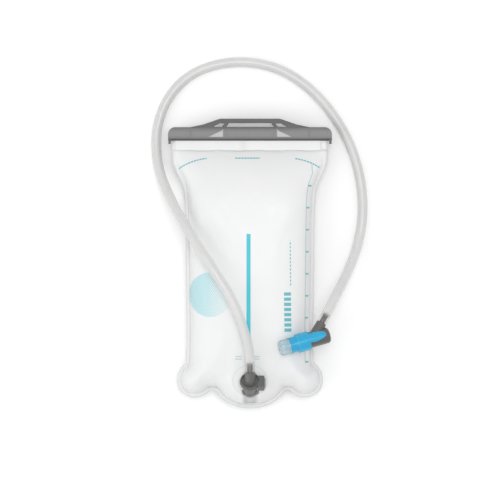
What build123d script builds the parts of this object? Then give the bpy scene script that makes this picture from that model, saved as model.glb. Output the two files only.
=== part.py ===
from build123d import *
from math import cos, pi, radians, sin, tan
import os

# Hydration bladder, 2 litre class, lying on its back on a flat surface.
# +Z points out of the printed front film, +Y towards the slide closure, +X to the right
# when the front is looked at. The origin is at the middle of the bag's underside.
# All lengths are in millimetres.

# ---- driving dimensions ----
SEAM_Z = 22.0            # height of the weld between the two films
FILM = 0.8               # film thickness
FRONT_RISE = 34.0        # the front film's height above the weld, at the middle
REAR_DROP = SEAM_Z       # the rear film's depth below the weld: it lies on the surface

BAND_HALF_WIDTH = 93.5   # half the width of the flat top band
FLAP_END_Y = 136.0       # lower edge of the folded-over top
FOLD_Y = 156.0           # centre of the fold at the top
FOLD_Z = SEAM_Z + 1.5 * FILM
STRIP = 1.0              # thickness of the closure strip on the flap
RIB_RISE = 1.4           # how far its rib stands proud

BAR_HALF_LENGTH = 98.0
BAR_BOTTOM_Y = 147.6
BAR_TOP_Y = 164.0
BAR_BACK_Z = FOLD_Z - 6.5
BAR_FRONT_Z = FOLD_Z + 8.5
HANDLE_TOP_Y = 174.0
SLIDE_GAP = 0.3          # between the slide bar and the folded films

PORT_TILT = 52.0         # the port's axis rises this much above the horizontal, in degrees
ELBOW_AT = 16.5          # along the port's axis, where the connector turns towards the hose
ELBOW_ARM = 9.4          # from that turn to the hose's end
PORT_RADIUS = 8.4
PORT_BORE = 6.0
RUNNING_GAP = 0.05
COLLAR_RADIUS = 12.3

HOSE_RADIUS = 5.75
HOSE_BORE = 3.5
HOSE_ROUTE = [
    (0.0, -127.5, 68.5),
    (0.0, -106.0, 70.8),
    (-6.0, -80.0, 73.8),
    (-19.0, -45.0, 75.6),
    (-43.0, -7.0, 75.0),
    (-66.0, 28.0, 67.0),
    (-85.0, 59.0, 48.0),
    (-99.0, 86.0, 26.0),
    (-109.5, 112.0, 10.0),
    (-114.0, 141.0, 6.0),
    (-111.5, 172.0, 6.0),
    (-98.0, 204.0, 6.0),
    (-73.0, 229.0, 6.0),
    (-38.0, 242.5, 6.0),
    (1.0, 244.5, 6.0),
    (39.0, 235.0, 6.0),
    (74.0, 211.5, 6.0),
    (103.0, 178.0, 6.0),
    (123.5, 140.0, 6.0),
    (134.5, 100.0, 6.0),
    (137.0, 60.0, 6.0),
    (130.5, 22.0, 9.0),
    (118.0, -8.0, 26.0),
    (105.5, -31.0, 42.5),
    (95.5, -50.0, 52.0),
    (84.6, -69.6, 56.5),
]

VALVE_TILT = 10.0        # the bite valve's axis rises this much towards its mouthpiece
VALVE_PLAN = 195.3       # its direction in plan, in degrees from +X
VALVE_ARM = 22.3         # from the hose's end to the valve's axis
ELBOW_RADIUS = 9.5
SLEEVE_RADIUS = 11.5
BARREL_RADIUS = 9.3
SPIGOT_RADIUS = 6.5
TONGUE_TURN = 15.0       # from straight up, towards the hose neck


# ---- helpers ----
def block(x, y, z):
    """A box from three (low, high) pairs."""
    size = [high - low for low, high in (x, y, z)]
    centre = [(low + high) / 2 for low, high in (x, y, z)]
    return Pos(*centre) * Box(*size)


def rod(radius, low, high):
    """A cylinder about the local z axis, from low to high."""
    return Pos(0, 0, (low + high) / 2) * Cylinder(radius, high - low)


def pipe(outer, inner, low, high):
    return rod(outer, low, high) - rod(inner, low - 1, high + 1)


def taper(low_radius, high_radius, low, high):
    return Pos(0, 0, (low + high) / 2) * Cone(low_radius, high_radius, high - low)


def coil(radius, wire, low, high, turns):
    """A plain round-wire spring about the local z axis."""
    height = high - low - 2 * wire
    path = Pos(0, 0, low + wire) * Helix(height / turns, height, radius)
    start = Plane(path @ 0, z_dir=path % 0)
    return sweep(start * Circle(wire), path)


# ---- the inflated film ----
# Stations along the bag: y, half width inside the weld, share of the full thickness.
STATIONS = [
    (135.5, 91.5, 0.05),
    (122.0, 88.5, 0.26),
    (106.0, 81.5, 0.52),
    (90.0, 75.5, 0.73),
    (66.0, 73.0, 0.9),
    (30.0, 72.0, 0.99),
    (-20.0, 72.0, 1.0),
    (-80.0, 72.5, 1.0),
    (-122.0, 72.5, 1.0),
    (-136.0, 67.0, 1.0),
    (-146.0, 51.0, 0.99),
    (-154.0, 36.0, 0.97),
    (-160.0, 31.0, 0.92),
    (-164.5, 26.5, 0.82),
    (-167.0, 22.0, 0.65),
    (-168.8, 17.0, 0.3),
]
FRONT_FLAT = 0.2         # share of the width over which the front is level
REAR_FLAT = 0.62         # and the rear, where it lies on the surface


def bag_section(y, half_width, rise, flat):
    """A half section across the bag: level in the middle, a quarter ellipse at each side."""
    crown = flat * half_width
    side = half_width - crown
    level = Line((-crown, rise), (crown, rise))
    if rise > 0:
        left = EllipticalCenterArc((-crown, 0), side, rise, 90, arc_size=90)
        right = EllipticalCenterArc((crown, 0), side, rise, 0, arc_size=90)
    else:
        left = EllipticalCenterArc((-crown, 0), side, -rise, 180, arc_size=90)
        right = EllipticalCenterArc((crown, 0), side, -rise, 270, arc_size=90)
    base = Line((-half_width, 0), (half_width, 0))
    across = Plane(origin=(0, y, SEAM_Z), x_dir=(1, 0, 0), z_dir=(0, -1, 0))
    return across * make_face([left, level, right, base])


def bulge(full, flat, inset):
    """The space under one film, drawn in by inset from its outside."""
    sections = []
    for index, (y, half_width, share) in enumerate(STATIONS):
        if index == 0:
            y -= inset
        if index == len(STATIONS) - 1:
            y += inset
        height = max(abs(full) * share - inset, 0.15)
        rise = height if full > 0 else -height
        sections.append(bag_section(y, half_width - inset, rise, flat))
    return loft(sections)


def flat_outline(low, high):
    """The welded edge seen from the front: straight sides, shoulders and three lobes."""
    side = [
        (-BAND_HALF_WIDTH, 138),
        (-BAND_HALF_WIDTH, 128),
        (-92, 120),
        (-86.5, 108),
        (-79, 94),
        (-76.5, 80),
        (-76, 20),
        (-76.5, -60),
        (-79.5, -112),
        (-79.5, -138),
    ]
    left = Spline(side)
    right = Spline([(-x, y) for x, y in reversed(side)])
    top = Line((BAND_HALF_WIDTH, 138), (-BAND_HALF_WIDTH, 138))
    bottom = Line((-79.5, -138), (79.5, -138))
    outline = make_face([left, bottom, right, top])
    for x in (-62, 63):
        outline += Pos(x, -138) * Circle(24)
    outline += Pos(2, -140) * Ellipse(44, 34)
    return Pos(0, 0, low) * extrude(outline, high - low)


def folded_layer(inner, outer):
    """One film's path through the closure: up, round the fold and down in front."""
    across = (-BAND_HALF_WIDTH, BAND_HALF_WIDTH)
    lower = block(across, (133, FOLD_Y), (FOLD_Z - outer, FOLD_Z - inner))
    upper = block(across, (FLAP_END_Y, FOLD_Y), (FOLD_Z + inner, FOLD_Z + outer))
    ring = Cylinder(outer, 2 * BAND_HALF_WIDTH) - Cylinder(inner, 2 * BAND_HALF_WIDTH)
    ring = Pos(0, FOLD_Y, FOLD_Z) * Rot(0, 90, 0) * ring
    bend = ring & block(across, (FOLD_Y, FOLD_Y + 5), (FOLD_Z - 5, FOLD_Z + 5))
    return lower + upper + bend


def hose_direction(start, end):
    return (Vector(*HOSE_ROUTE[end]) - Vector(*HOSE_ROUTE[start])).normalized()


def port_place():
    """The port's own frame: z out along its axis, and x across the bag."""
    axis = Vector(0, cos(radians(PORT_TILT)), sin(radians(PORT_TILT)))
    elbow = Vector(*HOSE_ROUTE[0]) - hose_direction(0, 1) * ELBOW_ARM
    return Plane(origin=elbow - axis * ELBOW_AT, x_dir=(1, 0, 0), z_dir=axis)


def port_outside():
    """The port's solid outer shape, which passes through the front film."""
    return port_place() * (rod(PORT_RADIUS, -6, 0.5) + taper(PORT_RADIUS, 9.6, 0.5, 12.3))


def front_film():
    film = flat_outline(SEAM_Z, SEAM_Z + FILM) + bulge(FRONT_RISE, FRONT_FLAT, 0)
    film += folded_layer(0.5 * FILM, 1.5 * FILM)
    film -= bulge(FRONT_RISE, FRONT_FLAT, FILM)
    return film - port_outside()


def rear_film():
    film = flat_outline(SEAM_Z - FILM, SEAM_Z) + bulge(-REAR_DROP, REAR_FLAT, 0)
    film += folded_layer(1.5 * FILM, 2.5 * FILM)
    film -= bulge(-REAR_DROP, REAR_FLAT, FILM)
    return film & block((-120, 120), (-200, 200), (0, 60))


def front_top_strip():
    """The stiff strip welded to the front film, held inside the fold."""
    across = (-BAND_HALF_WIDTH, BAND_HALF_WIDTH)
    return block(across, (FLAP_END_Y + 1, FOLD_Y - 2), (FOLD_Z - FILM / 2, FOLD_Z + FILM / 2))


def rear_top_strip():
    """The strip on the flap's outside. The slide bar's lip hooks over its rib."""
    across = (-BAND_HALF_WIDTH, BAND_HALF_WIDTH)
    low = FOLD_Z + 2.5 * FILM
    strip = block(across, (FLAP_END_Y, FOLD_Y), (low, low + STRIP))
    rib = block(across, (FOLD_Y - 3.5, FOLD_Y), (low + STRIP, low + STRIP + RIB_RISE))
    return strip + rib


# ---- the baffle that ties the films together along the middle ----
BAFFLE_LOW_Y = -88.0
BAFFLE_HIGH_Y = 36.0
BAFFLE_THICK = 1.2
RAIL_Z = 29.0            # centre of the snap rail's bead
BEAD_RADIUS = 1.6


def baffle_web(low, high):
    return block((-BAFFLE_THICK / 2, BAFFLE_THICK / 2), (BAFFLE_LOW_Y, BAFFLE_HIGH_Y), (low, high))


def along_baffle(radius):
    middle = (BAFFLE_LOW_Y + BAFFLE_HIGH_Y) / 2
    return Pos(0, middle, RAIL_Z) * Rot(90, 0, 0) * Cylinder(radius, BAFFLE_HIGH_Y - BAFFLE_LOW_Y)


def front_baffle():
    return baffle_web(RAIL_Z + 3, 70) & bulge(FRONT_RISE, FRONT_FLAT, FILM)


def rear_baffle():
    upper = baffle_web(SEAM_Z - 4, RAIL_Z - 5.5)
    return upper + (baffle_web(0, SEAM_Z - 4) & bulge(-REAR_DROP, REAR_FLAT, FILM))


def baffle_rail_front():
    span = (BAFFLE_LOW_Y, BAFFLE_HIGH_Y)
    rail = block((-3.2, 3.2), span, (RAIL_Z - 2.6, RAIL_Z + 3))
    rail -= along_baffle(BEAD_RADIUS + RUNNING_GAP)
    return rail - block((-0.9, 0.9), (span[0] - 1, span[1] + 1), (RAIL_Z - 3, RAIL_Z))


def baffle_rail_rear():
    span = (BAFFLE_LOW_Y, BAFFLE_HIGH_Y)
    foot = block((-3.2, 3.2), span, (RAIL_Z - 5.5, RAIL_Z - 3.3))
    neck = block((-0.7, 0.7), span, (RAIL_Z - 3.3, RAIL_Z))
    return foot + neck + along_baffle(BEAD_RADIUS)


# ---- the slide closure ----
WINDOW_LOW_Y = 164.2
WINDOW_HIGH_Y = 169.2
BAR_EDGE_RADIUS = 6.0
BAR_CORNER_RADIUS = 9.0
HANDLE_THICK = 9.0
EDGE_STEP = 0.9          # the grip's edge steps in by this at the front
RECESS_DEPTH = 0.8


def mirrored(points):
    return [(-x, y) for x, y in points]


def bar_profile():
    """The bar: a barrel with rounded long edges and two rounded top corners."""
    low, high = BAR_BACK_Z, BAR_FRONT_Z
    centre_y = (BAR_BOTTOM_Y + BAR_TOP_Y) / 2
    section = RectangleRounded(BAR_TOP_Y - BAR_BOTTOM_Y, high - low, BAR_EDGE_RADIUS)
    section = Plane.YZ * Pos(centre_y, (low + high) / 2) * section
    barrel = Pos(-BAR_HALF_LENGTH, 0, 0) * extrude(section, 2 * BAR_HALF_LENGTH, dir=(1, 0, 0))
    plan = Pos(0, centre_y) * Rectangle(2 * BAR_HALF_LENGTH, BAR_TOP_Y - BAR_BOTTOM_Y)
    plan = fillet(plan.vertices().group_by(Axis.Y)[-1], BAR_CORNER_RADIUS)
    return barrel & (Pos(0, 0, low - 1) * extrude(plan, high - low + 2))


def handle():
    """The low arched grip above the bar, with its hanging slot and two corner windows."""
    left = [(-74, BAR_TOP_Y - 4), (-74, BAR_TOP_Y - 0.6), (-56, 167), (-36, HANDLE_TOP_Y)]
    face = make_face(Polyline(*left, *mirrored(left)[::-1], close=True))
    face = fillet(face.vertices().filter_by(lambda corner: corner.Y > 165), 12)
    grip = extrude(face, HANDLE_THICK - EDGE_STEP)
    grip += Pos(0, 0, HANDLE_THICK - EDGE_STEP) * extrude(offset(face, -EDGE_STEP), EDGE_STEP)
    corner = [(-46, WINDOW_LOW_Y), (-33.5, WINDOW_LOW_Y), (-30, 168.8), (-36.5, 168.8)]
    middle = [(-29, WINDOW_LOW_Y), (29, WINDOW_LOW_Y), (25.2, WINDOW_HIGH_Y), (-25.2, WINDOW_HIGH_Y)]
    for window in (corner, mirrored(corner), middle):
        opening = make_face(Polyline(*window, close=True))
        opening = fillet(opening.vertices(), 0.8)
        grip -= Pos(0, 0, -1) * extrude(opening, HANDLE_THICK + 2, dir=(0, 0, 1))
    centre = (BAR_BACK_Z + BAR_FRONT_Z) / 2
    return Pos(0, 0, centre - HANDLE_THICK / 2) * grip


def slide_bar():
    reach = (-BAR_HALF_LENGTH - 1, BAR_HALF_LENGTH + 1)
    bar = bar_profile() + handle()
    for side in (-1, 1):
        bar += block(sorted((side * 94.8, side * 97.6)), (143.8, BAR_BOTTOM_Y + 6), (27.0, 30.0))
    layers = 2.5 * FILM
    slot = block(
        reach,
        (BAR_BOTTOM_Y - 1, FOLD_Y),
        (FOLD_Z - layers - SLIDE_GAP, FOLD_Z + layers + STRIP + SLIDE_GAP),
    )
    channel = block(
        reach,
        (FOLD_Y - 3.5 - SLIDE_GAP, FOLD_Y + layers + 1.2),
        (FOLD_Z - layers - SLIDE_GAP, FOLD_Z + layers + STRIP + RIB_RISE + SLIDE_GAP),
    )
    bar = bar - slot - channel
    for side in (-1, 1):
        recess = Polyline((side * 32, 152), (side * 50, 152), (side * 32, 160.5), close=True)
        bar -= Pos(0, 0, BAR_FRONT_Z - RECESS_DEPTH) * extrude(make_face(recess), 3)
        bar -= Pos(side * 71, 156, BAR_FRONT_Z) * Rot(0, 0, side * 9) * Box(1.4, 9, 2 * RECESS_DEPTH)
        bar -= Pos(side * 28, 156, BAR_FRONT_Z) * Rot(0, 0, side * -6) * Box(0.8, 11, RECESS_DEPTH)
    return bar


# ---- the drinking port and its shut-off valve, about the port's own axis ----
POPPET_TOP = -8.45


def bulkhead_port():
    """The welded flange, its slanted socket and the valve seat."""
    flange = bulge(FRONT_RISE, FRONT_FLAT, FILM) - bulge(FRONT_RISE, FRONT_FLAT, FILM + 1.6)
    flange &= Pos(0, -138, 45) * extrude(Ellipse(20.5, 18), 30)
    port = flange - port_place() * rod(7.0, -40, -5.9) + port_outside()
    bore = port_place() * (rod(PORT_BORE, -5, 14) + rod(3.8, -8, -4))
    return port - bore


def valve_cage():
    """The stepped cage under the socket. It guides the poppet's stem."""
    cage = rod(6.9, -15, -6) + rod(4.8, -26, -15)
    cage -= rod(5.9, -14, -5)
    cage -= rod(3.4, -25, -13)
    cage -= rod(1.3 + RUNNING_GAP, -27, -24)
    for turn in range(4):
        cage -= Rot(0, 0, 45 + 90 * turn) * block((4, 9), (-1.5, 1.5), (-13, -8))
    return port_place() * cage


def poppet():
    return port_place() * (rod(4.9, POPPET_TOP - 2, POPPET_TOP) + rod(1.3, -26.5, POPPET_TOP - 2))


def poppet_seal():
    return port_place() * pipe(4.9, 3.7, POPPET_TOP, POPPET_TOP + 0.6)


def poppet_spring():
    return port_place() * coil(2.5, 0.3, -24.95, POPPET_TOP - 2.05, 7)


# ---- the hose connector that plugs into the port ----
NECK_RADIUS = 6.3


def barb(shank, length):
    """A hose tail: a shank with saw-tooth rings, from 0 to length."""
    tail = rod(shank - 0.5, 0, length)
    rings = 3
    pitch = length / rings
    for ring in range(rings):
        tail += taper(shank, shank - 0.5, ring * pitch + 0.3, (ring + 1) * pitch)
    return tail


def hose_connector():
    place = port_place()
    elbow = place.origin + place.z_dir * ELBOW_AT
    start = Vector(*HOSE_ROUTE[0])
    outward = hose_direction(0, 1)
    branch = Plane(origin=elbow, z_dir=outward)
    tail = Plane(origin=start, z_dir=outward)
    body = place * (
        rod(PORT_BORE - RUNNING_GAP, -4.9, 12.5)
        + rod(3.4, POPPET_TOP + 0.05, -4.9)
        + taper(COLLAR_RADIUS - 0.8, COLLAR_RADIUS, 12.5, 13.5)
        + taper(COLLAR_RADIUS, COLLAR_RADIUS - 0.8, 13.5, 16.3)
        + taper(7.8, NECK_RADIUS, 14.4, ELBOW_AT + 2)
    )
    body += Pos(*elbow) * Sphere(NECK_RADIUS)
    body += branch * rod(NECK_RADIUS, 0, ELBOW_ARM)
    body += tail * barb(HOSE_BORE, 11)
    housing = block((9.2, 17), (-9, 6.5), (8.4, 17))
    body += place * (housing - rod(9.8, 0, 12.45))
    body -= place * block((9.8, 18), (-7, 4.6), (9.6, 15.4))
    body -= place * pipe(10.2, 7.9, 15, 18) - branch * rod(NECK_RADIUS, 0, ELBOW_ARM)
    waterway = place * rod(2.4, -9, ELBOW_AT)
    waterway += Pos(*elbow) * Sphere(2.4)
    waterway += branch * rod(2.4, 0, ELBOW_ARM)
    waterway += tail * rod(2.2, -1, 12)
    groove = place * pipe(PORT_BORE + 0.1, 4.9, -2.9, -0.9)
    return body - waterway - groove


def plug_o_ring():
    return port_place() * Pos(0, 0, -1.9) * pipe(PORT_BORE - 0.02, 4.9, -0.9, 0.9)


def release_button():
    button = block((12.5, 18.6), (-6.9, 4.5), (9.7, 15.3))
    button = fillet(button.edges().group_by(Axis.X)[-1], 1.0)
    return port_place() * button


def button_spring():
    place = port_place()
    return place * (Pos(0, -1.2, 12.5) * Rot(0, 90, 0) * coil(2.4, 0.25, 9.85, 12.45, 3))


# ---- the hose ----
def hose_path():
    """Straight runs joined by arcs as large as their two runs allow."""
    points = [Vector(*point) for point in HOSE_ROUTE]
    runs = [after - before for before, after in zip(points, points[1:])]
    radii = []
    for before, after in zip(runs, runs[1:]):
        turn = radians(before.get_angle(after))
        radii.append(0.45 * min(before.length, after.length) / tan(turn / 2))
    return FilletPolyline(*points, radius=radii), radii


def hose():
    path, radii = hose_path()
    start = Plane(origin=path @ 0, z_dir=path % 0)
    tube = sweep(start * (Circle(HOSE_RADIUS) - Circle(HOSE_BORE)), path)
    section = pi * (HOSE_RADIUS**2 - HOSE_BORE**2)
    print("hose length", round(path.length, 1))
    print("hose volume over section x length", round(tube.volume / section / path.length, 4))
    print("hose radii", [round(radius) for radius in radii])
    return tube


# ---- the bite valve, about its own axis ----
def valve_place():
    level = cos(radians(VALVE_TILT))
    axis = Vector(
        level * cos(radians(VALVE_PLAN)),
        level * sin(radians(VALVE_PLAN)),
        sin(radians(VALVE_TILT)),
    )
    up = Vector(0, 0, 1) - axis * axis.Z
    joint = Vector(*HOSE_ROUTE[-1]) - hose_direction(-1, -2) * VALVE_ARM
    return Plane(origin=joint, x_dir=up, z_dir=axis)


def valve_elbow():
    """The grey body: a closed barrel with the hose neck on its side and a spigot in front."""
    place = valve_place()
    end = Vector(*HOSE_ROUTE[-1])
    inward = hose_direction(-1, -2)
    side = Plane(origin=place.origin, z_dir=inward)
    tail = Plane(origin=end, z_dir=inward)
    barrel = rod(ELBOW_RADIUS, -20.7, 4.5)
    barrel = fillet(barrel.edges().group_by(Axis.Z)[0], 3.5)
    body = place * (barrel + rod(SPIGOT_RADIUS, 4, 24))
    body += side * taper(6.9, 6, 2, VALVE_ARM)
    body += tail * barb(HOSE_BORE, 12)
    waterway = place * rod(3.6, -12, 25)
    waterway += side * rod(2.3, 0, VALVE_ARM + 0.5)
    waterway += tail * rod(2.2, -1, 13)
    grooves = place * (pipe(8, 5.5, 8, 10) + pipe(8, 5.5, 19, 21))
    return body - waterway - grooves


def valve_o_rings():
    place = valve_place()
    rings = [pipe(SPIGOT_RADIUS + 0.04, 5.5, low, low + 1.8) for low in (8.1, 19.1)]
    return Compound([place * ring for ring in rings])


def tongue():
    """The long thumb tongue that lies over the grey body."""
    leaf = Pos(-1, 0) * Ellipse(14.5, 5.7)
    shell = pipe(SLEEVE_RADIUS, ELBOW_RADIUS + 0.4, -20, 10)
    prism = Plane(origin=(0, 0, 0), x_dir=(0, 0, 1), z_dir=(1, 0, 0)) * extrude(leaf, 20)
    return shell & prism


def shutoff_sleeve():
    """The blue sleeve that turns on the spigot to open and close the flow."""
    sleeve = rod(SLEEVE_RADIUS, 5, 20.5)
    sleeve = chamfer(sleeve.edges().group_by(Axis.Z)[-1], 1.6)
    sleeve += rod(BARREL_RADIUS, 20, 29)
    sleeve += rod(6.2, 29, 34)
    sleeve -= rod(SPIGOT_RADIUS + RUNNING_GAP, 4, 24.2)
    sleeve -= rod(3.6, 24, 35)
    turned = Rot(0, 0, TONGUE_TURN) * tongue()
    for rib in range(14):
        sleeve -= Rot(0, 0, 90 + 12 * rib) * block((SLEEVE_RADIUS - 0.5, 13), (-0.6, 0.6), (7, 18.5))
    return valve_place() * (sleeve + turned)


def mouthpiece():
    """The soft silicone bite piece, with a slit in its closed end."""
    outer = rod(9.1, 29, 39) + taper(9.1, 7.6, 39, 41)
    outer += rod(BARREL_RADIUS + 0.2, 29, 30.2)
    inner = rod(6.2, 28, 34) + rod(5.4, 34, 38.8)
    slit = block((-4, 4), (-0.15, 0.15), (38, 42))
    return valve_place() * (outer - inner - slit)


NODES = [
    front_film,
    rear_film,
    front_top_strip,
    rear_top_strip,
    front_baffle,
    rear_baffle,
    baffle_rail_front,
    baffle_rail_rear,
    slide_bar,
    bulkhead_port,
    valve_cage,
    poppet,
    poppet_seal,
    poppet_spring,
    hose_connector,
    plug_o_ring,
    release_button,
    button_spring,
    hose,
    valve_elbow,
    valve_o_rings,
    shutoff_sleeve,
    mouthpiece,
]

os.makedirs("parts", exist_ok=True)
for make in NODES:
    shape = make()
    shape.label = make.__name__
    export_step(shape, "parts/" + make.__name__ + ".step")
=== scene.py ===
"""Looks for the hydration bladder: its film, prints, hose, closure, port and bite valve."""

from math import cos, pi, radians, sin, sqrt

import bpy
import numpy as np
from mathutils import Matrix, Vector
from mathutils.bvhtree import BVHTree
from mathutils.geometry import delaunay_2d_cdt


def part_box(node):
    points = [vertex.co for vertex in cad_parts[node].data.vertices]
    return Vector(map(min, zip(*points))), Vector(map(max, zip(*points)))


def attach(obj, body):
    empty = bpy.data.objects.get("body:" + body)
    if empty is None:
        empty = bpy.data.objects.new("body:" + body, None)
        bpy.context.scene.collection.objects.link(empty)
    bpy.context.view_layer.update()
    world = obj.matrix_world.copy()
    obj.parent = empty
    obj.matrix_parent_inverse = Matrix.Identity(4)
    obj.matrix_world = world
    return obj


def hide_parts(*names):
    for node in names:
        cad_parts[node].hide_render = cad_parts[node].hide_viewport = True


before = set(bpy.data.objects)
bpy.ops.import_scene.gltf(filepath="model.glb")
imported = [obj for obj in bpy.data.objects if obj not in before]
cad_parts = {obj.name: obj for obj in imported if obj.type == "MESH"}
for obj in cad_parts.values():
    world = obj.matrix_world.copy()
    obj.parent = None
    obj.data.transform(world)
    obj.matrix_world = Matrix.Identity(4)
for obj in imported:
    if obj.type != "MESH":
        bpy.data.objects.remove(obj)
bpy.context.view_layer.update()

MM = 0.001

# ---- the camera: straight down on the bag's printed front ----
FRAME_WIDTH = 0.600      # metres across the picture at the height of the bag's weld
FRAME_CENTRE_Y = 0.0168
VIEW_HEIGHT = 2.5
SENSOR = 36.0
SEAM_Z = 22.0            # height of the weld between the two films, in millimetres


def add_camera():
    """A camera that looks straight down, with the picture's width set at the weld's height."""
    data = bpy.data.cameras.new("camera")
    data.sensor_width = SENSOR
    data.lens = SENSOR * (VIEW_HEIGHT - SEAM_Z * MM) / FRAME_WIDTH
    camera = bpy.data.objects.new("camera", data)
    camera.location = (0.0, FRAME_CENTRE_Y, VIEW_HEIGHT)
    bpy.context.scene.collection.objects.link(camera)
    bpy.context.scene.camera = camera


# ---- node trees ----
class Recipe:
    """A material with short calls for the nodes that it needs."""

    def __init__(self, name):
        self.material = bpy.data.materials.new(name)
        self.material.use_nodes = True
        self.tree = self.material.node_tree
        self.shader = self.tree.nodes["Principled BSDF"]

    def feed(self, socket, value):
        if isinstance(value, bpy.types.NodeSocket):
            self.tree.links.new(value, socket)
        else:
            socket.default_value = value

    def set(self, **values):
        """Sets the shader's sockets. Underscores in a name stand for spaces."""
        for name, value in values.items():
            self.feed(self.shader.inputs[name.replace("_", " ")], value)

    def math(self, operation, first, second=0.0):
        node = self.tree.nodes.new("ShaderNodeMath")
        node.operation = operation
        self.feed(node.inputs[0], first)
        self.feed(node.inputs[1], second)
        return node.outputs[0]

    def mix(self, share, first, second):
        """A colour between two others."""
        node = self.tree.nodes.new("ShaderNodeMix")
        node.data_type = "RGBA"
        self.feed(node.inputs[0], share)
        self.feed(node.inputs[6], first)
        self.feed(node.inputs[7], second)
        return node.outputs[2]

    def span(self, value, low, high, to_low=0.0, to_high=1.0, smooth=False):
        """Carries a value from one range to another, and holds it at the ends."""
        node = self.tree.nodes.new("ShaderNodeMapRange")
        node.interpolation_type = "SMOOTHSTEP" if smooth else "LINEAR"
        self.feed(node.inputs[0], value)
        for place, number in enumerate((low, high, to_low, to_high)):
            node.inputs[place + 1].default_value = number
        return node.outputs[0]

    def place(self, kind="Object"):
        """The point's own place in millimetres, or with UV its place on the flat film."""
        source = self.tree.nodes.new("ShaderNodeTexCoord")
        scale = self.tree.nodes.new("ShaderNodeVectorMath")
        scale.operation = "SCALE"
        scale.inputs["Scale"].default_value = 1 / MM
        self.feed(scale.inputs[0], source.outputs[kind])
        return scale.outputs[0]

    def axes(self, vector):
        """A place's x, y and z."""
        split = self.tree.nodes.new("ShaderNodeSeparateXYZ")
        self.feed(split.inputs[0], vector)
        return split.outputs[0], split.outputs[1], split.outputs[2]

    def noise(self, vector, size, detail=3.0):
        """Noise whose features are about size millimetres across."""
        node = self.tree.nodes.new("ShaderNodeTexNoise")
        node.inputs["Scale"].default_value = 1.0 / size
        node.inputs["Detail"].default_value = detail
        self.feed(node.inputs["Vector"], vector)
        return node.outputs["Fac"]

    def bump(self, height, depth, strength=0.5):
        """Bumps depth millimetres deep."""
        node = self.tree.nodes.new("ShaderNodeBump")
        node.inputs["Strength"].default_value = strength
        node.inputs["Distance"].default_value = depth * MM
        self.feed(node.inputs["Height"], height)
        self.feed(self.shader.inputs["Normal"], node.outputs[0])

    def beyond(self, value, low, high):
        """How far a value lies outside a range: negative inside it."""
        away = self.math("ABSOLUTE", self.math("SUBTRACT", value, (low + high) / 2))
        return self.math("SUBTRACT", away, (high - low) / 2)

    def block(self, u, v, low, high):
        """1 inside a rectangle on the film, 0 outside it."""
        across = self.beyond(u, low[0], high[0])
        along = self.beyond(v, low[1], high[1])
        return self.math("LESS_THAN", self.math("MAXIMUM", across, along), 0.0)

    def length(self, first, second):
        """The distance that two steps at right angles make together."""
        squares = [self.math("POWER", self.math("ABSOLUTE", side), 2.0) for side in (first, second)]
        return self.math("SQRT", self.math("ADD", *squares))

    def repeat(self, value, start, pitch):
        """How far a value is from the nearest of a row of evenly spaced marks."""
        turn = self.math("DIVIDE", self.math("SUBTRACT", value, start), pitch)
        away = self.math("ABSOLUTE", self.math("SUBTRACT", turn, self.math("ROUND", turn)))
        return self.math("MULTIPLY", away, pitch)


def layers_of_noise(recipe, vector, sizes, weights):
    """Noise of several sizes, each with its own weight."""
    total = 0.0
    for size, weight in zip(sizes, weights):
        total = recipe.math("ADD", total, recipe.math("MULTIPLY", recipe.noise(vector, size), weight))
    return total


def new_mesh(name, vertices, faces, material):
    """A smooth mesh in the scene, in metres."""
    mesh = bpy.data.meshes.new(name)
    mesh.from_pydata([tuple(vertex) for vertex in vertices], [], faces)
    mesh.update()
    mesh.shade_smooth()
    piece = bpy.data.objects.new(name, mesh)
    bpy.context.scene.collection.objects.link(piece)
    mesh.materials.append(material)
    return piece


# ---- the hose, in metres ----
HOSE_ROUTE = [
    (0.0, -0.1275, 0.0685),
    (0.0, -0.106, 0.0708),
    (-0.006, -0.08, 0.0738),
    (-0.019, -0.045, 0.0756),
    (-0.043, -0.007, 0.075),
    (-0.066, 0.028, 0.067),
    (-0.085, 0.059, 0.048),
    (-0.099, 0.086, 0.026),
    (-0.1095, 0.112, 0.01),
    (-0.114, 0.141, 0.006),
    (-0.1115, 0.172, 0.006),
    (-0.098, 0.204, 0.006),
    (-0.073, 0.229, 0.006),
    (-0.038, 0.2425, 0.006),
    (0.001, 0.2445, 0.006),
    (0.039, 0.235, 0.006),
    (0.074, 0.2115, 0.006),
    (0.103, 0.178, 0.006),
    (0.1235, 0.14, 0.006),
    (0.1345, 0.1, 0.006),
    (0.137, 0.06, 0.006),
    (0.1305, 0.022, 0.009),
    (0.118, -0.008, 0.026),
    (0.1055, -0.031, 0.0425),
    (0.0955, -0.05, 0.052),
    (0.0846, -0.0696, 0.0565),
]
HOSE_RADIUS = 0.00575
BORE_RADIUS = 0.0035
BARB_MIDDLE = 0.006      # from the hose's end to the middle of the barb inside it
BARB_REACH = 0.007       # the hose swells this far to each side of that
BARB_SWELL = 0.00035
BARB_CLEAR = (9.0, 16.0)   # millimetres from an end over which the hose turns milky again


def hose_line():
    """Points along the route's own smooth curve."""
    data = bpy.data.curves.new("hose_line", "CURVE")
    data.dimensions = "3D"
    data.resolution_u = 14
    spline = data.splines.new("NURBS")
    spline.points.add(len(HOSE_ROUTE) - 1)
    for point, place in zip(spline.points, HOSE_ROUTE):
        point.co = (*place, 1.0)
    spline.order_u = 3
    spline.use_endpoint_u = True
    line = bpy.data.objects.new("hose_line", data)
    mesh = bpy.data.meshes.new_from_object(line)
    points = [Vector(vertex.co) for vertex in mesh.vertices]
    bpy.data.objects.remove(line)
    return points


def swollen(start, end):
    """The hose's outer radius, at distances from its two ends: it swells over the barbs."""
    swell = sum(max(0.0, 1 - abs(away - BARB_MIDDLE) / BARB_REACH) for away in (start, end))
    return HOSE_RADIUS + BARB_SWELL * swell


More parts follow.
